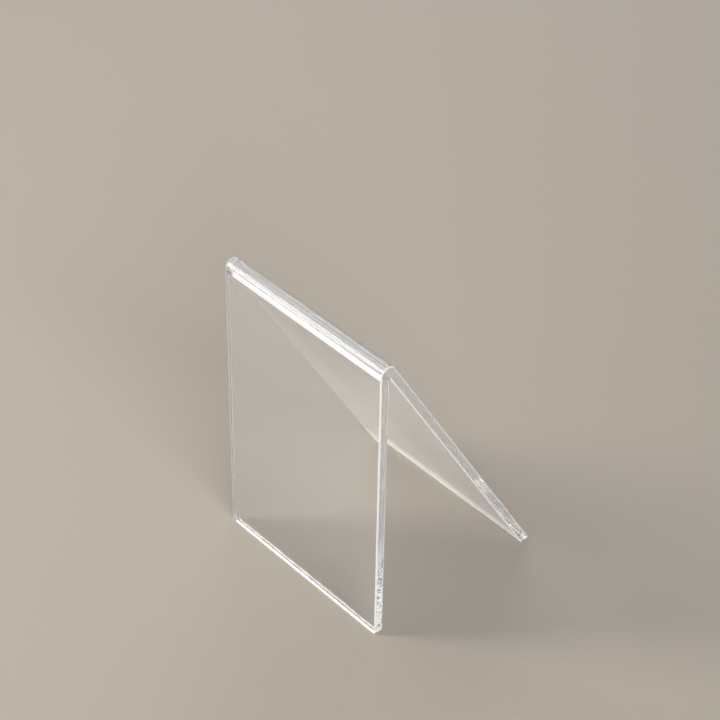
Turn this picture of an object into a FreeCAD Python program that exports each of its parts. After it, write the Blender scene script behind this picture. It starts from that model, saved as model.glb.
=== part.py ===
import FreeCAD, Part
import math
import os

import Sketcher
from FreeCAD import Vector

# Book rest: two flat sheets of clear acrylic, cemented into a round-nosed bar that makes the ridge.
# Millimetres. +Z is up and the origin is on the ground under the middle of the stand.
# X runs along the ridge. The upright faces -Y and the sloping rest faces +Y.

doc = FreeCAD.newDocument("book_rest")

# Driving sizes: name, value in millimetres and what it measures
SIZES = [
    ("overall_height", 150.0, "ground to the top of the ridge"),
    ("panel_width", 100.0, "length of the ridge, which is the width of both panels"),
    ("base_depth", 96.0, "front of the upright to the tip of the toe"),
    ("sheet_thickness", 4.5, "acrylic sheet of both panels"),
    ("nose_inset", 0.5, "sheet's thickness less the radius of the ridge bar's round nose"),
    ("corner_radius", 1.2, "lower corners of the upright in front view"),
    ("arris_radius", 0.6, "eased and polished edges of the panels and the bar"),
    ("toe_radius", 1.2, "round at the tip of the toe"),
    ("cement_film", 0.15, "cement between each panel and the bar"),
    ("bead_radius", 0.6, "hollow of the cement bead in the inside corner"),
]

sizes = doc.addObject("Spreadsheet::Sheet", "Sizes")
for row, (name, value, meaning) in enumerate(SIZES, start=1):
    sizes.set(f"A{row}", name)
    sizes.set(f"B{row}", str(value))
    sizes.set(f"C{row}", meaning)
    sizes.setAlias(f"B{row}", name)
doc.recompute()

# Ends of a sketch's lines and arcs, and the sketch's own origin and axes
START, END, CENTRE = range(1, 4)
GROUND, FRONT = range(-1, -3, -1)
ORIGIN = (GROUND, START)
# Decimals to which two places count as the same
SAME_DECIMALS = 4
QUARTER_TURN = math.pi / 2
HALF_TURN = math.pi
# What the pieces follow: the nose and the toe, the inside corner, the slope and the seams' length
NOSE_RADIUS = "Sizes.sheet_thickness - Sizes.nose_inset"
NOSE_HEIGHT = "Sizes.overall_height - Sizes.sheet_thickness + Sizes.nose_inset"
TOE_DEPTH = "Sizes.base_depth - Sizes.toe_radius"
CORNER_HEIGHT = "rest_side.Constraints.corner_height"
SLOPE = "rest_side.Constraints.slope"
SEAM_LENGTH = "Sizes.panel_width - 2 * Sizes.arris_radius"


def new_body(label):
    """A body whose zero lies under the front face of the upright, in the middle of its width."""
    body = doc.addObject("PartDesign::Body", label)
    body.Label = label
    body.setExpression("Placement.Base.y", "-Sizes.base_depth / 2")
    return body


def new_sketch(body, plane_role, name):
    """A sketch on one of the body's own origin planes."""
    sketch = body.newObject("Sketcher::SketchObject", name)
    plane = next(p for p in body.Origin.OriginFeatures if p.Role == plane_role)
    sketch.AttachmentSupport = [(plane, "")]
    sketch.MapMode = "FlatFace"
    return sketch


def line(first, last):
    """A straight side between two points of a sketch."""
    return Part.LineSegment(first, last)


def circle(centre, radius):
    """A full round about a point of a sketch."""
    return Part.Circle(centre, Vector(0, 0, 1), radius)


def arc(centre, radius, first_angle, last_angle):
    """A round about a point of a sketch, counterclockwise between two angles."""
    return Part.ArcOfCircle(circle(centre, radius), first_angle, last_angle)


def constrain(sketch, *rule):
    """Adds one geometric constraint."""
    sketch.addConstraint(Sketcher.Constraint(*rule))


def chain(sketch, *sides):
    """Joins each side's end to the next one's start."""
    for this, following in zip(sides, sides[1:]):
        constrain(sketch, "Coincident", this, END, following, START)


def dimension(sketch, expression, *rule):
    """Adds one dimension and binds it to the sizes."""
    index = sketch.addConstraint(Sketcher.Constraint(*rule))
    sketch.setExpression(f"Constraints[{index}]", expression)


def reading(sketch, name, *rule):
    """Adds a dimension that only measures, for the other pieces to follow."""
    index = sketch.addConstraint(Sketcher.Constraint(*rule))
    sketch.setDriving(index, False)
    sketch.renameConstraint(index, name)


def pad(body, sketch, name, length, side):
    """Gives the sketch a length, to one side of its plane or to both."""
    slab = body.newObject("PartDesign::Pad", name)
    slab.Profile = sketch
    slab.SideType = side
    slab.setExpression("Length", length)
    return slab


def ease(body, slab, name, is_arris):
    """Rounds those edges of the slab that are its arrises."""
    doc.recompute()
    arrises = [f"Edge{i}" for i, edge in enumerate(slab.Shape.Edges, start=1) if is_arris(edge)]
    eased = body.newObject("PartDesign::Fillet", name)
    eased.Base = (slab, arrises)
    eased.setExpression("Radius", "Sizes.arris_radius")


def lies_at(edge, axis, place):
    """True where both ends of the edge are at that place along X, Y or Z."""
    return all(round(getattr(v, axis) - place, SAME_DECIMALS) == 0 for v in edge.Vertexes)


def is_centred(edge, place):
    """True where the middle of the edge is at that place, seen from the side."""
    middle = Vector(edge.CenterOfMass.y, edge.CenterOfMass.z, 0)
    return round(middle.distanceToPoint(place), SAME_DECIMALS) == 0


class Side:
    """Places that the pieces share, seen from the side: across is depth and up is height.

    The slope touches the nose of the ridge and the round of the toe. The inside corner is where
    the back of the upright would meet the inner face of the rest panel.
    """

    nose_radius = sizes.sheet_thickness - sizes.nose_inset
    nose = Vector(nose_radius, sizes.overall_height - nose_radius, 0)
    toe = Vector(sizes.base_depth - sizes.toe_radius, sizes.toe_radius, 0)
    fall = math.atan2(nose.y - toe.y, toe.x - nose.x)
    slope = fall + math.asin((nose_radius - sizes.toe_radius) / nose.distanceToPoint(toe))
    down = Vector(math.cos(slope), -math.sin(slope), 0)
    outward = Vector(math.sin(slope), math.cos(slope), 0)
    seat_depth = sizes.nose_inset * math.tan((QUARTER_TURN + slope) / 2)
    corner = Vector(sizes.sheet_thickness, nose.y - seat_depth, 0)
    rest_top = corner + down * sizes.cement_film
    heel = corner + down * (corner.y / math.sin(slope))


def make_rest():
    """Rest panel, drawn from the side: cut square at the bar, level at the toe."""
    body = new_body("rest_panel")
    side = new_sketch(body, "YZ_Plane", "rest_side")
    outer_face, toe_cut, inner_face, top_edge, toe_round, nose, corner = range(7)
    thickness, toe_radius = sizes.sheet_thickness, sizes.toe_radius
    across = Side.outward * thickness
    side.addGeometry(
        [
            line(Side.rest_top + across, Side.toe + Side.outward * toe_radius),
            line(Vector(Side.toe.x, 0, 0), Side.heel),
            line(Side.heel, Side.rest_top),
            line(Side.rest_top, Side.rest_top + across),
            arc(Side.toe, toe_radius, -QUARTER_TURN, QUARTER_TURN - Side.slope),
        ],
        False,
    )
    side.addGeometry([circle(Side.nose, Side.nose_radius), Part.Point(Side.corner)], True)
    chain(side, toe_cut, inner_face, top_edge, outer_face)
    constrain(side, "Tangent", outer_face, END, toe_round, END)
    constrain(side, "Tangent", toe_cut, START, toe_round, START)
    constrain(side, "Horizontal", toe_cut)
    constrain(side, "PointOnObject", toe_cut, END, GROUND)
    constrain(side, "Parallel", outer_face, inner_face)
    constrain(side, "Perpendicular", outer_face, top_edge)
    constrain(side, "Tangent", outer_face, nose)
    constrain(side, "PointOnObject", corner, START, inner_face)
    dimension(side, NOSE_RADIUS, "Radius", nose, Side.nose_radius)
    dimension(side, NOSE_RADIUS, "DistanceX", *ORIGIN, nose, CENTRE, Side.nose.x)
    dimension(side, NOSE_HEIGHT, "DistanceY", *ORIGIN, nose, CENTRE, Side.nose.y)
    dimension(side, "Sizes.toe_radius", "Radius", toe_round, toe_radius)
    dimension(side, TOE_DEPTH, "DistanceX", *ORIGIN, toe_round, CENTRE, Side.toe.x)
    dimension(side, "Sizes.sheet_thickness", "Distance", inner_face, START, outer_face, thickness)
    dimension(side, "Sizes.sheet_thickness", "DistanceX", *ORIGIN, corner, START, Side.corner.x)
    dimension(side, "Sizes.cement_film", "Distance", corner, START, inner_face, END, sizes.cement_film)
    reading(side, "corner_height", "DistanceY", *ORIGIN, corner, START, Side.corner.y)
    reading(side, "slope", "Angle", outer_face, -Side.slope)

    slab = pad(body, side, "rest_slab", "Sizes.panel_width", "Symmetric")
    end = sizes.panel_width / 2

    def is_arris(edge):
        """The outlines of the two ends and the heel, but nothing of the edge on the bar."""
        at_end = lies_at(edge, "X", end) or lies_at(edge, "X", -end)
        on_bar = is_centred(edge, Side.rest_top + across / 2)
        return (at_end and not on_bar) or is_centred(edge, Side.heel)

    ease(body, slab, "rest_arrises", is_arris)
    return body


def make_upright():
    """Upright panel, drawn from the front: it stands on its lower edge and is cut square under the bar."""
    body = new_body("upright_panel")
    front = new_sketch(body, "XZ_Plane", "upright_front")
    right, radius = sizes.panel_width / 2, sizes.corner_radius
    top = Side.corner.y - sizes.cement_film
    bottom_side, right_side, top_side, left_side, right_round, left_round, corner = range(7)
    front.addGeometry(
        [
            line(Vector(radius - right, 0, 0), Vector(right - radius, 0, 0)),
            line(Vector(right, radius, 0), Vector(right, top, 0)),
            line(Vector(right, top, 0), Vector(-right, top, 0)),
            line(Vector(-right, top, 0), Vector(-right, radius, 0)),
            arc(Vector(right - radius, radius, 0), radius, -QUARTER_TURN, 0),
            arc(Vector(radius - right, radius, 0), radius, HALF_TURN, HALF_TURN + QUARTER_TURN),
        ],
        False,
    )
    front.addGeometry([Part.Point(Vector(0, Side.corner.y, 0))], True)
    chain(front, right_side, top_side, left_side)
    constrain(front, "Tangent", bottom_side, END, right_round, START)
    constrain(front, "Tangent", right_round, END, right_side, START)
    constrain(front, "Tangent", left_side, END, left_round, START)
    constrain(front, "Tangent", left_round, END, bottom_side, START)
    constrain(front, "Equal", right_round, left_round)
    constrain(front, "Vertical", right_side)
    constrain(front, "Vertical", left_side)
    constrain(front, "PointOnObject", bottom_side, START, GROUND)
    constrain(front, "Symmetric", top_side, START, top_side, END, FRONT)
    constrain(front, "PointOnObject", corner, START, FRONT)
    dimension(front, "Sizes.corner_radius", "Radius", right_round, radius)
    dimension(front, "Sizes.panel_width", "DistanceX", top_side, END, top_side, START, sizes.panel_width)
    dimension(front, CORNER_HEIGHT, "DistanceY", *ORIGIN, corner, START, Side.corner.y)
    dimension(front, "Sizes.cement_film", "DistanceY", top_side, END, corner, START, sizes.cement_film)

    slab = pad(body, front, "upright_slab", "Sizes.sheet_thickness", "One side")
    slab.Reversed = True

    def is_arris(edge):
        """The outlines of the two faces, but nothing of the edge under the bar."""
        on_face = lies_at(edge, "Y", 0) or lies_at(edge, "Y", sizes.sheet_thickness)
        return on_face and not lies_at(edge, "Z", top)

    ease(body, slab, "upright_arrises", is_arris)
    return body


def make_ridge():
    """Ridge bar, drawn from the side: a round nose with a flat seat for the edge of each panel."""
    body = new_body("ridge_bar")
    side = new_sketch(body, "YZ_Plane", "ridge_side")
    front_flat, nose, rest_flat, rest_seat, upright_seat = range(5)
    seat_front = Vector(0, Side.corner.y, 0)
    seat_back = Side.corner + Side.outward * sizes.sheet_thickness
    side.addGeometry(
        [
            line(seat_front, Vector(0, Side.nose.y, 0)),
            arc(Side.nose, Side.nose_radius, QUARTER_TURN - Side.slope, HALF_TURN),
            line(Side.nose + Side.outward * Side.nose_radius, seat_back),
            line(seat_back, Side.corner),
            line(Side.corner, seat_front),
        ],
        False,
    )
    chain(side, rest_flat, rest_seat, upright_seat, front_flat)
    constrain(side, "Tangent", front_flat, END, nose, END)
    constrain(side, "Tangent", rest_flat, START, nose, START)
    constrain(side, "Vertical", front_flat)
    constrain(side, "Horizontal", upright_seat)
    constrain(side, "Perpendicular", rest_flat, rest_seat)
    constrain(side, "PointOnObject", front_flat, START, FRONT)
    dimension(side, NOSE_RADIUS, "Radius", nose, Side.nose_radius)
    dimension(side, NOSE_HEIGHT, "DistanceY", *ORIGIN, nose, CENTRE, Side.nose.y)
    dimension(side, "Sizes.sheet_thickness", "DistanceX", *ORIGIN, upright_seat, START, Side.corner.x)
    dimension(side, CORNER_HEIGHT, "DistanceY", *ORIGIN, upright_seat, START, Side.corner.y)
    dimension(side, SLOPE, "Angle", rest_flat, -Side.slope)

    slab = pad(body, side, "ridge_slab", "Sizes.panel_width", "Symmetric")
    end = sizes.panel_width / 2

    def is_arris(edge):
        """The outlines of the two ends, but nothing of the seats."""
        at_end = lies_at(edge, "X", end) or lies_at(edge, "X", -end)
        on_seat = any(is_centred(edge, (Side.corner + outer) / 2) for outer in (seat_front, seat_back))
        return at_end and not on_seat

    ease(body, slab, "ridge_arrises", is_arris)
    return body


def make_upright_seam():
    """Upright seam, drawn from the side: the film of cement between the upright and the bar."""
    body = new_body("upright_seam")
    side = new_sketch(body, "YZ_Plane", "upright_seam_side")
    back, top = Side.corner.x, Side.corner.y
    foot = top - sizes.cement_film
    lower, rear, upper, front = range(4)
    side.addGeometry(
        [
            line(Vector(0, foot, 0), Vector(back, foot, 0)),
            line(Vector(back, foot, 0), Vector(back, top, 0)),
            line(Vector(back, top, 0), Vector(0, top, 0)),
            line(Vector(0, top, 0), Vector(0, foot, 0)),
        ],
        False,
    )
    chain(side, lower, rear, upper, front, lower)
    constrain(side, "Horizontal", lower)
    constrain(side, "Horizontal", upper)
    constrain(side, "Vertical", rear)
    constrain(side, "PointOnObject", front, START, FRONT)
    constrain(side, "PointOnObject", front, END, FRONT)
    dimension(side, "Sizes.sheet_thickness", "DistanceX", *ORIGIN, rear, END, back)
    dimension(side, CORNER_HEIGHT, "DistanceY", *ORIGIN, rear, END, top)
    dimension(side, "Sizes.cement_film", "DistanceY", rear, START, rear, END, sizes.cement_film)
    pad(body, side, "upright_seam_run", SEAM_LENGTH, "Symmetric")
    return body


def make_rest_seam():
    """Rest seam, drawn from the side: the film on the bar and the hollow bead in the inside corner."""
    body = new_body("rest_seam")
    side = new_sketch(body, "YZ_Plane", "rest_seam_side")
    thickness, film, hollow = sizes.sheet_thickness, sizes.cement_film, sizes.bead_radius
    across = Side.outward * thickness
    drop = hollow * math.tan((QUARTER_TURN + Side.slope) / 2)
    centre = Side.corner + Vector(hollow, -drop, 0)
    touch = centre + Side.outward * hollow
    outer_edge, rest_face, inner_run, upright_run, bar_face, bead = range(6)
    side.addGeometry(
        [
            line(Side.corner + across, Side.rest_top + across),
            line(Side.rest_top + across, Side.rest_top),
            line(Side.rest_top, touch),
            line(Vector(Side.corner.x, centre.y, 0), Side.corner),
            line(Side.corner, Side.corner + across),
            arc(centre, hollow, QUARTER_TURN - Side.slope, HALF_TURN),
        ],
        False,
    )
    chain(side, upright_run, bar_face, outer_edge, rest_face, inner_run)
    constrain(side, "Tangent", inner_run, END, bead, START)
    constrain(side, "Tangent", upright_run, START, bead, END)
    constrain(side, "Vertical", upright_run)
    constrain(side, "Parallel", outer_edge, inner_run)
    constrain(side, "Parallel", bar_face, rest_face)
    constrain(side, "Perpendicular", inner_run, rest_face)
    constrain(side, "PointOnObject", upright_run, END, inner_run)
    dimension(side, "Sizes.sheet_thickness", "DistanceX", *ORIGIN, upright_run, END, Side.corner.x)
    dimension(side, CORNER_HEIGHT, "DistanceY", *ORIGIN, upright_run, END, Side.corner.y)
    dimension(side, SLOPE, "Angle", inner_run, -Side.slope)
    dimension(side, "Sizes.sheet_thickness", "Distance", bar_face, START, bar_face, END, thickness)
    dimension(side, "Sizes.cement_film", "Distance", outer_edge, START, outer_edge, END, film)
    dimension(side, "Sizes.bead_radius", "Radius", bead, hollow)
    pad(body, side, "rest_seam_run", SEAM_LENGTH, "Symmetric")
    return body


pieces = [make_rest(), make_upright(), make_ridge(), make_upright_seam(), make_rest_seam()]
doc.recompute()

for item in doc.Objects:
    if "Invalid" in item.State or "Error" in item.State:
        raise RuntimeError(f"{item.Label} did not compute: {item.State}")
for piece in pieces:
    if piece.Shape.isNull() or not piece.Shape.isValid():
        raise RuntimeError(f"{piece.Label} has no valid shape")

os.makedirs("parts", exist_ok=True)
for piece in pieces:
    piece.Shape.exportStep(f"parts/{piece.Label}.step")
    print(f"{piece.Label}: {piece.Shape.Volume:.1f} cubic mm")
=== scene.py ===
import math

import bpy
from mathutils import Matrix, Vector, noise


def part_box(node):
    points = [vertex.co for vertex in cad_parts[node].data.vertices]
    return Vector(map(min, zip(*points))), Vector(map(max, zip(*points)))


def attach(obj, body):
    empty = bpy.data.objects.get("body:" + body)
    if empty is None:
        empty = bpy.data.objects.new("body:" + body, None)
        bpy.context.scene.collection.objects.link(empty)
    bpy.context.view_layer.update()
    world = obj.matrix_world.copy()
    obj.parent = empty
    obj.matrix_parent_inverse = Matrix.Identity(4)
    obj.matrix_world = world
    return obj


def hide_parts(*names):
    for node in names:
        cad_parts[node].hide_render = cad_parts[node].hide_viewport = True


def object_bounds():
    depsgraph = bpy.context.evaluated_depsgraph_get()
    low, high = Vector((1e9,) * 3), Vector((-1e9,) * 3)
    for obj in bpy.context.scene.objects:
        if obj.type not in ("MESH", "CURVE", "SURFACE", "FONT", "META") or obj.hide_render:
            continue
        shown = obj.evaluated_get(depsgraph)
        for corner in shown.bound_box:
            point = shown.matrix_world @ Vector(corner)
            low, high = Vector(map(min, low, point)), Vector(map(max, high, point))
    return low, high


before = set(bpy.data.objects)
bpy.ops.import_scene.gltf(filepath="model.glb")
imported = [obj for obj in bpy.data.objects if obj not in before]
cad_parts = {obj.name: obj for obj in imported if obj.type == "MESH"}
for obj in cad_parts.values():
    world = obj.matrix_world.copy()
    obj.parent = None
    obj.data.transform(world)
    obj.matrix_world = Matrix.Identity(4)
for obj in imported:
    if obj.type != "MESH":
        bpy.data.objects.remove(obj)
cad_low, cad_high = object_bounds()

# Upright panel: a rectangle of clear cast acrylic sheet that stands on its lower edge. It is sawn,
# its edges are polished along their length, and its arrises are eased by hand to a satin line.
# Its top edge is left square and is cemented under the ridge bar.

MM = 0.001
ARRIS = 0.6 * MM
ARRIS_STEPS = 5
BAND_STEPS = 16
SIDE_STEPS = 100
FOOT_STEPS = 34
CORNER_STEPS = 6
RIPPLE_DEPTH = 0.04 * MM
RIPPLE_LENGTH = 6 * MM
RIPPLE_ACROSS = 2.5 * MM
DRY_END = 0.9 * MM
WET_STRIP = 2.0 * MM
SHARP_TURN = math.radians(40)
NORMAL_WEIGHT = 100
ACRYLIC_IOR = 1.49
LINE_STRETCH = 25.0
CHATTER_FADE = 14 * MM
FACE_DUST = 0.3
FACE, EDGE, SATIN, BONDED = range(4)


class Wire:
    """A node's output in a material, used as a value. Without a node it stands for the tree."""

    def __init__(self, tree, node=None, output=0):
        self.tree, self.source, self.output = tree, node, output

    def __getitem__(self, output):
        return Wire(self.tree, self.source, output)

    def node(self, kind, settings=None, sockets=None):
        """Adds a node: its settings first, then the values or links of its sockets."""
        made = self.tree.nodes.new(kind)
        for name, value in (settings or {}).items():
            setattr(made, name, value)
        for name, value in (sockets or {}).items():
            if isinstance(value, Wire):
                self.tree.links.new(value.source.outputs[value.output], made.inputs[name])
            else:
                made.inputs[name].default_value = value
        return Wire(self.tree, made)

    def math(self, operation, *values):
        return self.node("ShaderNodeMath", {"operation": operation}, dict(enumerate(values)))

    def __add__(self, other):
        return self.math("ADD", self, other)

    def __mul__(self, other):
        return self.math("MULTIPLY", self, other)

    __radd__, __rmul__ = __add__, __mul__


def new_finish(name):
    """An empty material and the tree that its nodes go into."""
    material = bpy.data.materials.new(name)
    material.use_nodes = True
    material.node_tree.nodes.clear()
    return material, Wire(material.node_tree)


def lay_on(tree, surface):
    """Makes a shader the material's surface."""
    tree.node("ShaderNodeOutputMaterial", {}, {"Surface": surface})


def cast_gloss(tree, place, dust):
    """The sheet's own gloss: clear, with traces of wiping, a slow waviness and a film of dust."""
    smears = tree.node(
        "ShaderNodeTexNoise",
        {},
        {"Vector": place, "Scale": 34.0, "Detail": 4.0, "Roughness": 0.6},
    )
    smear = tree.node(
        "ShaderNodeMapRange",
        {},
        {"Value": smears, "From Min": 0.52, "From Max": 0.78, "To Min": 0.0, "To Max": 1.0},
    )
    tint = tree.node(
        "ShaderNodeMix",
        {"data_type": "RGBA"},
        {"Factor": smear, 6: (0.992, 0.995, 0.995, 1), 7: (0.972, 0.976, 0.976, 1)},
    )[2]
    swell = tree.node("ShaderNodeTexNoise", {}, {"Vector": place, "Scale": 11.0, "Detail": 1.0})
    bump = tree.node("ShaderNodeBump", {}, {"Strength": 0.02, "Distance": 0.004, "Height": swell})
    return tree.node(
        "ShaderNodeBsdfPrincipled",
        {},
        {
            "Base Color": tint,
            "Roughness": smear * 0.05,
            "IOR": ACRYLIC_IOR,
            "Transmission Weight": 0.985,
            "Sheen Weight": dust,
            "Sheen Roughness": 0.4,
            "Normal": bump,
        },
    )


def polished_face():
    """A cast face, evenly dusty."""
    material, tree = new_finish("acrylic_face")
    lay_on(tree, cast_gloss(tree, tree.node("ShaderNodeTexCoord")["Object"], FACE_DUST))
    return material


def polished_edge(name, lean, rough_to=0.0):
    """A sawn edge polished along its length: faint lines run with it, and it is a little whitened.

    On the right-hand edge the polish left frosted specks of saw chatter, up to a height.
    """
    material, tree = new_finish(name)
    place = tree.node("ShaderNodeTexCoord")["Object"]
    drawn = tree.node(
        "ShaderNodeMapping",
        {"vector_type": "TEXTURE"},
        {"Vector": place, "Rotation": (-lean, 0.0, 0.0), "Scale": (1.0, LINE_STRETCH, 1.0)},
    )
    lines = tree.node(
        "ShaderNodeTexNoise",
        {},
        {"Vector": drawn, "Scale": 900.0, "Detail": 3.0, "Roughness": 0.55},
    )
    broad = tree.node("ShaderNodeTexNoise", {}, {"Vector": drawn, "Scale": 260.0, "Detail": 2.0})
    tint = tree.node(
        "ShaderNodeMix",
        {"data_type": "RGBA"},
        {"Factor": broad, 6: (0.94, 0.975, 0.985, 1), 7: (1.0, 1.0, 1.0, 1)},
    )[2]
    bump = tree.node(
        "ShaderNodeBump",
        {},
        {"Strength": 0.2, "Distance": 0.0005, "Height": lines + broad},
    )
    polished = tree.node(
        "ShaderNodeBsdfPrincipled",
        {},
        {
            "Base Color": tint,
            "Roughness": 0.02 + lines * 0.06,
            "IOR": ACRYLIC_IOR,
            "Transmission Weight": 0.8,
            "Normal": bump,
        },
    )
    spot = tree.node("ShaderNodeSeparateXYZ", {}, {"Vector": place})
    left_rough = tree.node(
        "ShaderNodeMapRange",
        {},
        {
            "Value": spot["Z"],
            "From Min": rough_to + CHATTER_FADE,
            "From Max": rough_to,
            "To Min": 0.0,
            "To Max": 0.9,
        },
    )
    right_hand = tree.math("GREATER_THAN", spot["X"], 0.0)
    specks = tree.node(
        "ShaderNodeTexNoise",
        {},
        {"Vector": place, "Scale": 430.0, "Detail": 1.5, "Roughness": 0.5},
    )
    chatter = tree.node(
        "ShaderNodeMapRange",
        {},
        {"Value": specks, "From Min": 0.46, "From Max": 0.5, "To Min": 0.0, "To Max": 1.0},
    )
    frosted = tree.node(
        "ShaderNodeBsdfPrincipled",
        {},
        {
            "Base Color": tint,
            "Roughness": 0.5,
            "IOR": ACRYLIC_IOR,
            "Transmission Weight": 0.05,
            "Normal": bump,
        },
    )
    specked = chatter * left_rough * right_hand
    lay_on(tree, tree.node("ShaderNodeMixShader", {}, {0: specked, 1: polished, 2: frosted}))
    return material


def satin_arris():
    """An edge rounded with fine paper: a white satin line that scatters light, also from inside."""
    material, tree = new_finish("acrylic_arris")
    place = tree.node("ShaderNodeTexCoord")["Object"]
    grain = tree.node("ShaderNodeTexNoise", {}, {"Vector": place, "Scale": 1400.0, "Detail": 2.0})
    tint = tree.node(
        "ShaderNodeMix",
        {"data_type": "RGBA"},
        {"Factor": grain, 6: (0.93, 0.95, 0.95, 1), 7: (1.0, 1.0, 1.0, 1)},
    )[2]
    bump = tree.node("ShaderNodeBump", {}, {"Strength": 0.15, "Distance": 0.0001, "Height": grain})
    satin = tree.node(
        "ShaderNodeBsdfPrincipled",
        {},
        {
            "Base Color": tint,
            "Roughness": 0.3 + grain * 0.25,
            "IOR": ACRYLIC_IOR,
            "Transmission Weight": 0.05,
            "Sheen Weight": 0.5,
            "Normal": bump,
        },
    )
    through = tree.node("ShaderNodeBsdfTranslucent", {}, {"Color": (0.96, 0.97, 0.97, 1)})
    let_in = 0.1 + grain * 0.15
    lay_on(tree, tree.node("ShaderNodeMixShader", {}, {0: let_in, 1: satin, 2: through}))
    return material


def bonded_face():
    """A face that the cement has wetted: it can no longer be seen, but for a trace of haze."""
    material, tree = new_finish("acrylic_bonded")
    place = tree.node("ShaderNodeTexCoord")["Object"]
    haze = tree.node("ShaderNodeTexNoise", {}, {"Vector": place, "Scale": 700.0, "Detail": 3.0})
    lay_on(
        tree,
        tree.node(
            "ShaderNodeBsdfPrincipled",
            {},
            {"Base Color": (0.95, 0.96, 0.96, 1), "Roughness": 0.3, "Alpha": haze * 0.06},
        ),
    )
    return material


def evenly(first, last, steps):
    """Places from first to last, evenly spread."""
    return [first + (last - first) * i / steps for i in range(steps + 1)]


def quarter(steps):
    """Inset and depth of a quarter round of radius one, from the face down to the edge."""
    return [(1 - math.sin(turn), 1 - math.cos(turn)) for turn in evenly(0, math.pi / 2, steps)]


def through_sheet(thickness):
    """Inset of a sheet's outline and depth through the sheet, for eased arrises on both faces."""
    near = [(inset * ARRIS, depth * ARRIS) for inset, depth in quarter(ARRIS_STEPS)]
    band = [(0.0, depth) for depth in evenly(ARRIS, thickness - ARRIS, BAND_STEPS)[1:-1]]
    far = [(inset, thickness - depth) for inset, depth in reversed(near)]
    return near + band + far


def half_outline(half_width, foot, radius):
    """Left half of a sheet's outline: down the side, round the corner and along half the foot.

    Each point has its outward direction. The foot is at a negative height below the top.
    """
    heights = [0.0, *evenly(-WET_STRIP, foot + radius, SIDE_STEPS)]
    points = [(-half_width, up, -1.0, 0.0) for up in heights]
    for turn in evenly(0, math.pi / 2, CORNER_STEPS)[1:-1]:
        out, down = math.cos(turn), math.sin(turn)
        points.append((-half_width + radius * (1 - out), foot + radius * (1 - down), -out, -down))
    return points + [(x, foot, 0.0, -1.0) for x in evenly(radius - half_width, 0, FOOT_STEPS)]


def sheet_mesh(name, width, radius, levels, wet_level, hem, place):
    """A sheet as rings through its thickness. Cement wets its top edge and the top of one face.

    Each level is the depth of a ring, the inset of its sides, the height of its foot below the
    top, and the finish of the foot that starts there. The hem is the finish of a narrow strip
    along the foot of the first face.
    """
    vertices, faces, kinds = [], [], []
    rings = []
    last = len(levels) - 1
    wet_end = width / 2 - DRY_END
    for index, (depth, inset, foot, _) in enumerate(levels):
        left = half_outline(width / 2 - inset, foot, radius - inset)
        right = [(-x, up, -out, down) for x, up, out, down in reversed(left[:-1])]
        top = [(wet_end, 0.0, 0.0, 1.0), (-wet_end, 0.0, 0.0, 1.0)]
        ring = []
        for x, up, out, down in left + right + top:
            sunk = 0.0
            if 0 < index < last and up < -RIPPLE_LENGTH:
                wave = Vector((x / RIPPLE_LENGTH, up / RIPPLE_LENGTH, depth / RIPPLE_ACROSS))
                sunk = RIPPLE_DEPTH * (0.5 + 0.5 * noise.noise(wave))
            ring.append(len(vertices))
            vertices.append(place(x - out * sunk, up - down * sunk, depth))
        rings.append(ring)
    count = len(rings[0])
    right_top, wet_right = count - 3, count - 2
    for index, (near, far) in enumerate(zip(rings, rings[1:])):
        on_arris = levels[index][1] > 0 or levels[index + 1][1] > 0
        for i in range(count):
            after = (i + 1) % count
            faces.append((near[i], near[after], far[after], far[i]))
            if i == wet_right:
                kinds.append(BONDED)
            elif SIDE_STEPS < i < right_top - SIDE_STEPS - 1:
                kinds.append(levels[index][3])
            else:
                kinds.append(SATIN if on_arris and i < right_top else EDGE)
    for level, turn in ((0, -1), (last, 1)):
        ring = rings[level]
        panes = (
            ring[:2] + ring[right_top - 1 :],
            ring[1 : SIDE_STEPS + 1] + ring[right_top - SIDE_STEPS : right_top],
            ring[SIDE_STEPS : right_top - SIDE_STEPS + 1],
        )
        faces += [tuple(pane[::turn]) for pane in panes]
        kinds += [BONDED if level == wet_level else FACE, FACE, hem if level == 0 else FACE]
    return solid_of(name, vertices, faces, kinds)


def solid_of(name, vertices, faces, kinds):
    """A piece from its points and faces, smooth but for its square corners."""
    mesh = bpy.data.meshes.new(name)
    mesh.from_pydata([Vector(v) for v in vertices], [], faces)
    for polygon, kind in zip(mesh.polygons, kinds):
        polygon.material_index = kind
        polygon.use_smooth = True
    mesh.set_sharp_from_angle(angle=SHARP_TURN)
    piece = bpy.data.objects.new(name, mesh)
    bpy.context.scene.collection.objects.link(piece)
    even = piece.modifiers.new("even_normals", "WEIGHTED_NORMAL")
    even.keep_sharp = True
    even.weight = NORMAL_WEIGHT
    return piece


def put_in_place(piece, node, finishes):
    """Gives a piece its finishes and lets it stand for its CAD node."""
    for finish in finishes:
        piece.data.materials.append(finish)
    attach(piece, "root")
    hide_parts(node)


FACE_FINISH, ARRIS_FINISH, BONDED_FINISH = polished_face(), satin_arris(), bonded_face()

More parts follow.
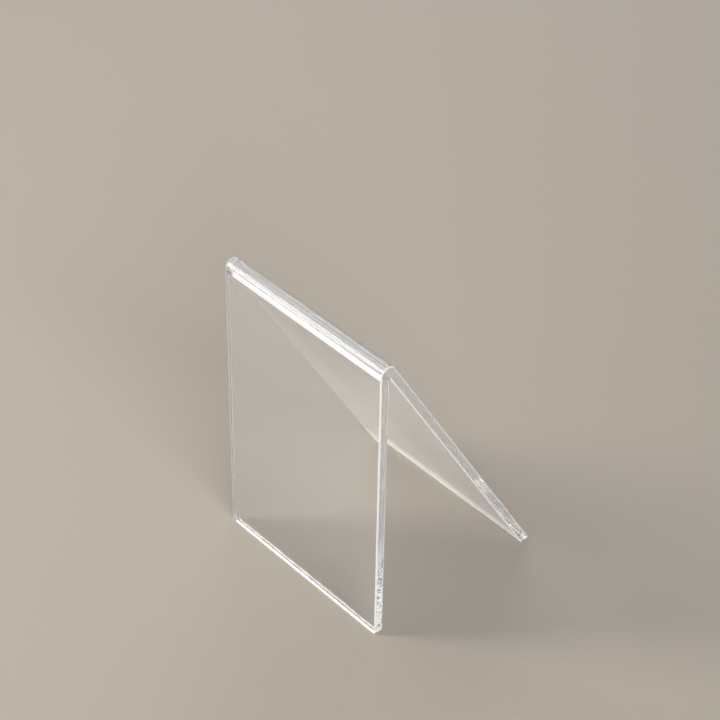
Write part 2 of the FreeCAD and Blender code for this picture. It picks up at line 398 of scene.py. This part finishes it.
upright_low, upright_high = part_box("upright_panel")
upright_size = upright_high - upright_low
thickness = upright_size.y
sheet_levels = through_sheet(thickness)
UPRIGHT_CORNER = 1.2 * MM
UPRIGHT_ROUGH = 28 * MM
upright_levels = [
    (depth, inset, inset - upright_size.z, SATIN if inset > 0 else FACE)
    for inset, depth in sheet_levels
]
upright = sheet_mesh(
    "upright_sheet",
    upright_size.x,
    UPRIGHT_CORNER,
    upright_levels,
    len(sheet_levels) - 1,
    FACE,
    lambda x, up, depth: (-x, upright_low.y + depth, upright_high.z + up),
)
UPRIGHT_EDGE = polished_edge("acrylic_upright_edge", math.pi / 2, UPRIGHT_ROUGH)
UPRIGHT_FINISHES = [FACE_FINISH, UPRIGHT_EDGE, ARRIS_FINISH, BONDED_FINISH]
put_in_place(upright, "upright_panel", UPRIGHT_FINISHES)

# Rest panel: a second rectangle of the same sheet, sloping down behind the upright. Its top edge is
# cut square and cemented to the ridge bar. Its lower edge is cut level to stand on, which frosted
# a narrow strip of its dusty inner face, and the tip of the toe is rounded off and polished.

REST_CORNER = 0.7 * MM
TOE_RADIUS = 1.2 * MM
TOE_STEPS = 16
HEEL_SATIN = 0.9 * ARRIS
TOE_DUST = 1.0
DUST_TOP = 22 * MM
NOSE_RADIUS = 4.0 * MM
rest_low, rest_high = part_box("rest_panel")
rest_width = rest_high.x - rest_low.x
nose = Vector((cad_low.y + NOSE_RADIUS, cad_high.z - NOSE_RADIUS))
toe = Vector((cad_high.y - TOE_RADIUS, cad_low.z + TOE_RADIUS))
fall = math.atan2(nose.y - toe.y, toe.x - nose.x)
slope = fall + math.asin((NOSE_RADIUS - TOE_RADIUS) / (nose - toe).length)
down_slope = Vector((math.cos(slope), -math.sin(slope)))
outward = Vector((math.sin(slope), math.cos(slope)))
rest_top = Vector((rest_low.y, rest_high.z - thickness * outward.y))


def round_about(centre, radius, first, last, steps):
    """Points of an arc between two angles, seen from the side."""
    turns = evenly(first, last, steps)
    return [centre + Vector((math.cos(turn), math.sin(turn))) * radius for turn in turns]


def toe_profile():
    """The lower edge from inner to outer face: depth from the inner face, length below the top."""
    heel = rest_top + down_slope * ((rest_top.y - cad_low.z) / math.sin(slope))
    heel_centre = heel - down_slope * (ARRIS * math.tan(slope / 2)) + outward * ARRIS
    down, inward = -math.pi / 2, -math.pi / 2 - slope
    points = round_about(heel_centre, ARRIS, inward, down, ARRIS_STEPS)
    points += round_about(toe, TOE_RADIUS, down, math.pi / 2 - slope, TOE_STEPS)
    return [((p - rest_top).dot(outward), (p - rest_top).dot(down_slope)) for p in points]


def at_depth(profile, depth):
    """Length below the top of the lower edge at a depth from the inner face."""
    for (near, first), (far, second) in zip(profile, profile[1:]):
        if depth <= far:
            return first + (second - first) * max(0.0, (depth - near) / (far - near))
    return profile[-1][1]


def on_slope(x, up, depth):
    """A place in the rest panel: along the ridge, up the slope, and out from its inner face."""
    side = rest_top - down_slope * up + outward * depth
    return (-x, side.x, side.y)


def dusty_face():
    """A cast face that gathers more dust towards the foot."""
    material, tree = new_finish("acrylic_rest_face")
    place = tree.node("ShaderNodeTexCoord")["Object"]
    height = tree.node("ShaderNodeSeparateXYZ", {}, {"Vector": place})["Z"]
    gathered = tree.node(
        "ShaderNodeMapRange",
        {"interpolation_type": "SMOOTHSTEP"},
        {"Value": height, "From Min": DUST_TOP, "From Max": 0.0, "To Min": 0.0, "To Max": 1.0},
    )
    upper, lower = cast_gloss(tree, place, FACE_DUST), cast_gloss(tree, place, TOE_DUST)
    lay_on(tree, tree.node("ShaderNodeMixShader", {}, {0: gathered, 1: upper, 2: lower}))
    return material


toe_line = toe_profile()
rest_levels = [
    (depth, inset, -at_depth(toe_line, depth), SATIN if depth < HEEL_SATIN else FACE)
    for inset, depth in sheet_levels
]
rest = sheet_mesh("rest_sheet", rest_width, REST_CORNER, rest_levels, 0, SATIN, on_slope)
REST_EDGE = polished_edge("acrylic_rest_edge", slope)
REST_FINISHES = [dusty_face(), REST_EDGE, ARRIS_FINISH, BONDED_FINISH]
put_in_place(rest, "rest_panel", REST_FINISHES)

# Ridge bar: a solid acrylic bar with a round nose, drawn and polished, that the top edges of both
# panels are cemented to. Its flats are flush with the outer faces of the panels. The front of its
# seat has let go of the cement, and the thin gap there shines like silver.

NOSE_STEPS = 28
BAR_STEPS = 50
NOSE, LOOSE = 4, 5
FILM = 0.15 * MM
HELD = 0.2 * MM
PARALLEL = 1e-4
corner = rest_top - down_slope * FILM
seat_front = Vector((cad_low.y, corner.y))
seat_back = corner + outward * thickness


def bar_section():
    """The bar from the side, with the finish of the face that starts at each point."""
    arc = round_about(nose, NOSE_RADIUS, math.pi, math.pi / 2 - slope, NOSE_STEPS)
    rounded = [(p, NOSE) for p in arc[:-1]]
    loose = corner - Vector((HELD, 0))
    back = [(arc[-1], FACE), (seat_back, BONDED), (corner, BONDED), (loose, LOOSE)]
    return [(seat_front, FACE), *rounded, *back]


def drawn_in(section, insets):
    """The section with its faces moved in, each by the inset of its finish."""
    moved = []
    for i, (here, kind) in enumerate(section):
        before, kind_before = section[i - 1]
        after = section[(i + 1) % len(section)][0]
        run_in, run_out = (here - before).normalized(), (after - here).normalized()
        one, two = Vector((run_in.y, -run_in.x)), Vector((run_out.y, -run_out.x))
        by_one, by_two = insets[kind_before], insets[kind]
        cross = one.x * two.y - one.y * two.x
        if abs(cross) < PARALLEL:
            moved.append(here + one * by_one)
        else:
            met = Vector((by_one * two.y - by_two * one.y, by_two * one.x - by_one * two.x))
            moved.append(here + met / cross)
    return moved


def lofted(rings, side_kind, end_kind):
    """Points, faces and finishes of a closed run of rings, from the right end to the left."""
    vertices, faces, kinds = [], [], []
    count = len(rings[0][1])
    for x, ring in rings:
        vertices += [(x, p.x, p.y) for p in ring]
    for k in range(len(rings) - 1):
        near, far = k * count, (k + 1) * count
        for i in range(count):
            after = (i + 1) % count
            faces.append((near + i, near + after, far + after, far + i))
            kinds.append(side_kind(k, i))
    faces.append(tuple(reversed(range(count))))
    faces.append(tuple(range(len(vertices) - count, len(vertices))))
    return vertices, faces, kinds + [end_kind, end_kind]


def bar_mesh(name, width):
    """The bar as rings along its length, with its ends eased and a dry end to each seat."""
    section = bar_section()
    half = width / 2
    ends = [(half - depth * ARRIS, inset * ARRIS) for inset, depth in quarter(ARRIS_STEPS)]
    middle = [(x, 0.0) for x in evenly(half - DRY_END, DRY_END - half, BAR_STEPS)]
    stations = ends + middle + [(-x, inset) for x, inset in reversed(ends)]

    def kind_of(ring, side):
        """Bonded on the seats, satin on the eased ends, and polished elsewhere."""
        kind = section[side][1]
        if kind in (BONDED, LOOSE):
            return kind if ARRIS_STEPS < ring < len(stations) - 2 - ARRIS_STEPS else EDGE
        return SATIN if stations[ring][1] > 0 or stations[ring + 1][1] > 0 else kind

    rings = []
    for x, inset in stations:
        insets = {FACE: inset, NOSE: inset, BONDED: 0.0, LOOSE: 0.0}
        rings.append((x, drawn_in(section, insets)))
    return solid_of(name, *lofted(rings, kind_of, EDGE))


def buffed_nose():
    """The bar's nose, buffed along its length: hazier than the cast faces, with fine lines."""
    material, tree = new_finish("acrylic_nose")
    place = tree.node("ShaderNodeTexCoord")["Object"]
    drawn = tree.node("ShaderNodeMapping", {}, {"Vector": place, "Scale": (0.02, 1.0, 1.0)})
    lines = tree.node(
        "ShaderNodeTexNoise",
        {},
        {"Vector": drawn, "Scale": 1500.0, "Detail": 3.0, "Roughness": 0.6},
    )
    tint = tree.node(
        "ShaderNodeMix",
        {"data_type": "RGBA"},
        {"Factor": lines, 6: (0.93, 0.96, 0.98, 1), 7: (0.99, 1.0, 1.0, 1)},
    )[2]
    bump = tree.node("ShaderNodeBump", {}, {"Strength": 0.02, "Distance": 0.0002, "Height": lines})
    lay_on(
        tree,
        tree.node(
            "ShaderNodeBsdfPrincipled",
            {},
            {
                "Base Color": tint,
                "Roughness": 0.05 + lines * 0.04,
                "IOR": ACRYLIC_IOR,
                "Transmission Weight": 0.75,
                "Normal": bump,
            },
        ),
    )
    return material


bar = bar_mesh("ridge_rod", rest_width)
BAR_END = polished_edge("acrylic_bar_end", slope / 2)
BAR_FINISHES = [FACE_FINISH, BAR_END, ARRIS_FINISH, BONDED_FINISH, buffed_nose(), FACE_FINISH]
put_in_place(bar, "ridge_bar", BAR_FINISHES)

# Upright cement: the film drawn in between the upright's top edge and the bar, and cured there.
# It stops just short of the front and of both ends in a hollow, uneven edge, and caught some air.

CEMENT_STEPS = 100
SHORTFALL = 0.16 * MM
SHORTFALL_LENGTH = 5 * MM
HOLLOW = 0.03 * MM
HOLLOW_STEPS = 4
SKIN = 0.005 * MM
POCKET_LENGTH, POCKET_WIDTH, POCKET_HEIGHT = 0.38 * MM, 0.17 * MM, 0.3 * FILM
POCKET_MARGIN = 0.2
POCKET_SIDES, POCKET_RINGS = 10, 4
GOLDEN = 0.618


def cement_gloss():
    """Cured cement in the open air: clear, glossy, uneven, a little yellower than the sheet."""
    material, tree = new_finish("cement_gloss")
    place = tree.node("ShaderNodeTexCoord")["Object"]
    cloud = tree.node("ShaderNodeTexNoise", {}, {"Vector": place, "Scale": 420.0, "Detail": 3.0})
    tint = tree.node(
        "ShaderNodeMix",
        {"data_type": "RGBA"},
        {"Factor": cloud, 6: (0.97, 0.965, 0.94, 1), 7: (0.99, 0.99, 0.98, 1)},
    )[2]
    bump = tree.node("ShaderNodeBump", {}, {"Strength": 0.2, "Distance": 0.0003, "Height": cloud})
    lay_on(
        tree,
        tree.node(
            "ShaderNodeBsdfPrincipled",
            {},
            {
                "Base Color": tint,
                "Roughness": 0.02 + cloud * 0.12,
                "IOR": ACRYLIC_IOR,
                "Transmission Weight": 0.9,
                "Normal": bump,
            },
        ),
    )
    return material


def short_of(x, line):
    """How far the cement stops short of an edge, at a place along the ridge."""
    return SHORTFALL * (0.6 + 0.5 * noise.noise(Vector((x / SHORTFALL_LENGTH, line, 0.0))))


def hollow_edge(first, last, inward):
    """The cement's free edge between two corners, hollowed towards the inside."""
    shares = evenly(0, 1, HOLLOW_STEPS)
    return [first.lerp(last, s) + inward * (4 * HOLLOW * s * (1 - s)) for s in shares]


def air_pockets(count, centre_of, across, through):
    """Flat pockets of air in a film, as closed hollows: points and faces that look inwards."""
    vertices, faces = [], []
    for k in range(count):
        share = (k * GOLDEN) % 1.0
        centre = centre_of((k + 0.5) / count, share)
        size = 0.5 + share
        first = len(vertices)
        axes = (
            Vector((POCKET_LENGTH * size, 0, 0)),
            Vector((0, *across)) * (POCKET_WIDTH * size),
            Vector((0, *through)) * POCKET_HEIGHT,
        )
        for ring in range(1, POCKET_RINGS):
            lift = math.pi * ring / POCKET_RINGS
            for i in range(POCKET_SIDES):
                turn = 2 * math.pi * i / POCKET_SIDES
                flat = axes[0] * math.cos(turn) + axes[1] * math.sin(turn)
                vertices.append(centre + flat * math.sin(lift) + axes[2] * math.cos(lift))
        vertices += [centre + axes[2], centre - axes[2]]
        top, bottom = len(vertices) - 2, len(vertices) - 1
        for i in range(POCKET_SIDES):
            after = (i + 1) % POCKET_SIDES
            for ring in range(POCKET_RINGS - 2):
                near, far = first + ring * POCKET_SIDES, first + (ring + 1) * POCKET_SIDES
                faces.append((near + i, near + after, far + after, far + i))
            low = first + (POCKET_RINGS - 2) * POCKET_SIDES
            faces += [(top, first + after, first + i), (bottom, low + i, low + after)]
    return vertices, faces


def pocket_depth(share):
    """How deep between the faces of the sheet a pocket lies, clear of both."""
    return (POCKET_MARGIN + (1 - 2 * POCKET_MARGIN) * share) * thickness


def cement_solid(name, profile, side_kinds, pockets):
    """A run of cement with the air that it caught."""
    rings = [(x, profile(x)) for x in film_places]
    vertices, faces, kinds = lofted(rings, lambda ring, side: side_kinds[side], FACE)
    hollow_points, hollow_faces = pockets
    start = len(vertices)
    faces += [tuple(start + i for i in face) for face in hollow_faces]
    return solid_of(name, vertices + hollow_points, faces, kinds + [FACE] * len(hollow_faces))


CEMENT_FINISH = cement_gloss()
film_low, film_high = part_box("upright_seam")
UPRIGHT_POCKETS = 9
FRONT_LINE, OUTER_LINE = 1, 2


def upright_film(x):
    """The film from the side: hollow front edge, top just clear of the bar, and bonded faces."""
    front, top = film_low.y + short_of(x, FRONT_LINE), film_high.z - SKIN
    edge = hollow_edge(Vector((front, film_low.z)), Vector((front, top)), Vector((1, 0)))
    return edge + [Vector((film_high.y, top)), Vector((film_high.y, film_low.z))]


film_reach = film_high.x - SHORTFALL
film_places = evenly(film_reach, -film_reach, CEMENT_STEPS)
film_middle = (film_low + film_high) / 2


def in_upright_film(along, share):
    """The middle of a pocket in the film."""
    return Vector((film_reach * (2 * along - 1), film_low.y + pocket_depth(share), film_middle.z))


upright_pockets = air_pockets(UPRIGHT_POCKETS, in_upright_film, Vector((1, 0)), Vector((0, 1)))
UPRIGHT_FILM_SIDES = [FACE] * HOLLOW_STEPS + [BONDED] * 3
upright_cement = cement_solid("upright_cement", upright_film, UPRIGHT_FILM_SIDES, upright_pockets)
CEMENT_FINISHES = [CEMENT_FINISH, CEMENT_FINISH, CEMENT_FINISH, BONDED_FINISH]
put_in_place(upright_cement, "upright_seam", CEMENT_FINISHES)

# Rest cement: the film between the rest panel's top edge and the bar, and the bead that ran out of
# it into the inside corner and cured hollow there, smooth but not quite even along its length.

BEAD_RADIUS = 0.6 * MM
BEAD_STEPS = 14
BEAD_SWELL = 0.16 * MM
BEAD_LENGTH = 11 * MM
BEAD_LINE = 5.0
REST_POCKETS = 11
bead_drop = BEAD_RADIUS * math.tan((math.pi / 2 + slope) / 2)
bead_centre = corner + Vector((BEAD_RADIUS, -bead_drop))


def rest_film(x):
    """The film and bead from the side: hollow outer edge, bonded faces and the bead's hollow."""
    short = outward * -short_of(x, OUTER_LINE)
    edge = hollow_edge(seat_back + short, seat_back + down_slope * FILM + short, -outward)
    swell = BEAD_SWELL * noise.noise(Vector((x / BEAD_LENGTH, 0.0, BEAD_LINE)))
    hollow = round_about(bead_centre, BEAD_RADIUS, math.pi / 2 - slope, math.pi, BEAD_STEPS)
    for i in range(1, BEAD_STEPS):
        share = i / BEAD_STEPS
        away = (hollow[i] - bead_centre).normalized()
        hollow[i] += away * (swell * math.sin(math.pi * share))
    return edge + [rest_top] + hollow + [corner]


def in_rest_film(along, share):
    """The middle of a pocket in the film."""
    side = corner + down_slope * (FILM / 2) + outward * pocket_depth(share)
    return Vector((film_reach * (1 - 2 * along), *side))


rest_pockets = air_pockets(REST_POCKETS, in_rest_film, outward, down_slope)
REST_FILM_SIDES = [FACE] * HOLLOW_STEPS + [BONDED] * 2 + [FACE] * BEAD_STEPS + [BONDED] * 2
rest_cement = cement_solid("rest_cement", rest_film, REST_FILM_SIDES, rest_pockets)
put_in_place(rest_cement, "rest_seam", CEMENT_FINISHES)

# Floor: a plain pale dish of paper that runs level under the stand and curves up far around it. It
# lies a hair below the feet, so that they keep their own gloss.

FLOOR_DROP = 0.05 * MM
FLOOR_COLOUR, FLOOR_ROUGHNESS = (0.48, 0.435, 0.38), 0.6
FLOOR_RINGS = 14
FLOOR_SIDES = 96
FLAT_REACH, RIM_REACH, RIM_HEIGHT = 2.2, 3.2, 1.0


def floor_mesh():
    """A dish of rings: flat in the middle, rising at the rim."""
    vertices, faces = [(0.0, 0.0, -FLOOR_DROP)], []
    rings = [(FLAT_REACH, 0.0)]
    for i in range(1, FLOOR_RINGS + 1):
        turn = math.pi / 2 * i / FLOOR_RINGS
        reach = FLAT_REACH + (RIM_REACH - FLAT_REACH) * math.sin(turn)
        rings.append((reach, RIM_HEIGHT * (1 - math.cos(turn))))
    for reach, height in rings:
        for i in range(FLOOR_SIDES):
            turn = 2 * math.pi * i / FLOOR_SIDES
            vertices.append((reach * math.cos(turn), reach * math.sin(turn), height - FLOOR_DROP))
    for i in range(FLOOR_SIDES):
        after = (i + 1) % FLOOR_SIDES
        faces.append((0, 1 + i, 1 + after))
        for ring in range(FLOOR_RINGS):
            near, far = 1 + ring * FLOOR_SIDES, 1 + (ring + 1) * FLOOR_SIDES
            faces.append((near + i, far + i, far + after, near + after))
    mesh = bpy.data.meshes.new("studio_floor")
    mesh.from_pydata(vertices, [], faces)
    for polygon in mesh.polygons:
        polygon.use_smooth = True
    return mesh


floor = bpy.data.objects.new("studio_floor", floor_mesh())
bpy.context.scene.collection.objects.link(floor)
floor_finish, floor_tree = new_finish("floor_paper")
lay_on(
    floor_tree,
    floor_tree.node(
        "ShaderNodeBsdfPrincipled",
        {},
        {"Base Color": (*FLOOR_COLOUR, 1), "Roughness": FLOOR_ROUGHNESS},
    ),
)
floor.data.materials.append(floor_finish)

# Studio light: soft panels at the front left, low in front, high on the left, at the back left and
# far out on the right, in a dim room.

ROOM_LEVEL = 0.22
ROOM_COLOUR = (1.0, 0.98, 0.95)
PANEL_COLOUR = (1.0, 0.98, 0.96)
SIDE_COLOUR = (1.0, 0.99, 0.98)
world = bpy.data.worlds.new("studio_room")
bpy.context.scene.world = world
world.use_nodes = True
world.node_tree.nodes["Background"].inputs["Color"].default_value = (*ROOM_COLOUR, 1)
world.node_tree.nodes["Background"].inputs["Strength"].default_value = ROOM_LEVEL


def soft_panel(name, place, aim, size, watts, colour):
    """A rectangular lamp at a place, turned to its aim."""
    lamp = bpy.data.lights.new(name, "AREA")
    lamp.shape = "RECTANGLE"
    lamp.size, lamp.size_y = size
    lamp.energy = watts
    lamp.color = colour
    stand = bpy.data.objects.new(name, lamp)
    stand.location = place
    stand.rotation_mode = "QUATERNION"
    stand.rotation_quaternion = (Vector(aim) - Vector(place)).to_track_quat("-Z", "Y")
    bpy.context.scene.collection.objects.link(stand)


AIM = (0.0, 0.0, 0.06)
soft_panel("window_light", (-0.74, -0.82, 0.57), AIM, (0.35, 1.0), 9.0, ROOM_COLOUR)
soft_panel("front_light", (-0.35, -1.25, 0.2), AIM, (1.2, 0.35), 3.5, PANEL_COLOUR)
soft_panel("high_light", (-0.72, -0.12, 1.06), AIM, (0.6, 0.7), 2.0, PANEL_COLOUR)
soft_panel("rear_light", (-0.81, 0.74, 0.93), AIM, (0.45, 0.45), 0.7, PANEL_COLOUR)
soft_panel("back_light", (-0.78, 0.85, 0.62), AIM, (1.0, 1.1), 3.0, PANEL_COLOUR)
soft_panel("side_light", (2.4, -0.92, 1.25), AIM, (1.7, 1.1), 55.0, SIDE_COLOUR)

# Camera: at the photograph's angle, found by fitting the stand's corners.

YAW, PITCH, ROLL = math.radians(-47.80), math.radians(38.42), math.radians(-1.00)
CAMERA_PLACE = (0.5545, -0.5172, 0.7021)
LENS, SENSOR = 110.0, 36.0
camera = bpy.data.objects.new("photo_camera", bpy.data.cameras.new("photo_camera"))
camera.data.lens, camera.data.sensor_width = LENS, SENSOR
forward = Vector(
    (math.sin(YAW) * math.cos(PITCH), math.cos(YAW) * math.cos(PITCH), -math.sin(PITCH))
)
right = Vector((math.cos(YAW), -math.sin(YAW), 0.0))
down = forward.cross(right)
image_right = right * math.cos(ROLL) + down * math.sin(ROLL)
image_down = down * math.cos(ROLL) - right * math.sin(ROLL)
turned = Matrix((image_right, -image_down, -forward)).transposed().to_4x4()
camera.matrix_world = Matrix.Translation(CAMERA_PLACE) @ turned
bpy.context.scene.collection.objects.link(camera)
bpy.context.scene.camera = camera
bpy.context.scene.view_settings.view_transform = "Standard"

# A clear sheet leads light along between its faces, so a path may turn back many times inside it.

PATH_TURNS = 32
light_paths = bpy.context.scene.cycles
light_paths.max_bounces = PATH_TURNS
light_paths.glossy_bounces = PATH_TURNS
light_paths.transmission_bounces = PATH_TURNS
light_paths.transparent_max_bounces = PATH_TURNS
